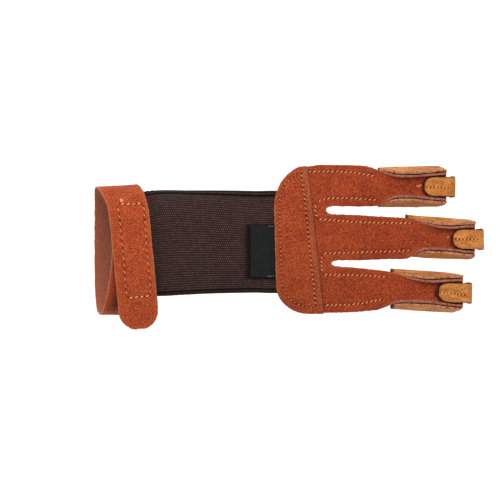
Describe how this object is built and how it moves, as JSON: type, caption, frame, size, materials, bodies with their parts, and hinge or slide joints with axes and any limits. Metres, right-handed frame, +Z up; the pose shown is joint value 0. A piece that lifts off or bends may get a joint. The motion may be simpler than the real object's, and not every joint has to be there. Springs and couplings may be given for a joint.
{
  "type": "three-finger archery glove",
  "caption": "Archery glove for the left hand: suede hand panel with finger strips, leather finger stalls, elastic back band and a wrist strap that closes on itself.",
  "frame": {"origin": "mount hand: on the skin side of the glove, in the middle of the front end of the elastic, where it sits on the back of the hand", "axes": "+X to the fingertips, +Y to the little finger's side, +Z up off the back of the hand"},
  "size_m": [0.216, 0.0918, 0.0548],
  "materials": {
    "suede": "brushed nap, matte",
    "stall_leather": "smooth grain, satin",
    "elastic": "woven elastic webbing",
    "label_cloth": "plain woven label",
    "hook_tape": "hook tape"
  },
  "bodies": {
    "root": {"hand_panel": "suede", "yoke_patch": "suede", "elastic_band": "elastic", "label": "label_cloth", "wrist_strap": "suede", "hook_patch": "hook_tape", "finger_stall_ring": "stall_leather", "finger_stall_middle": "stall_leather", "finger_stall_index": "stall_leather"}
  },
  "joints": []
}
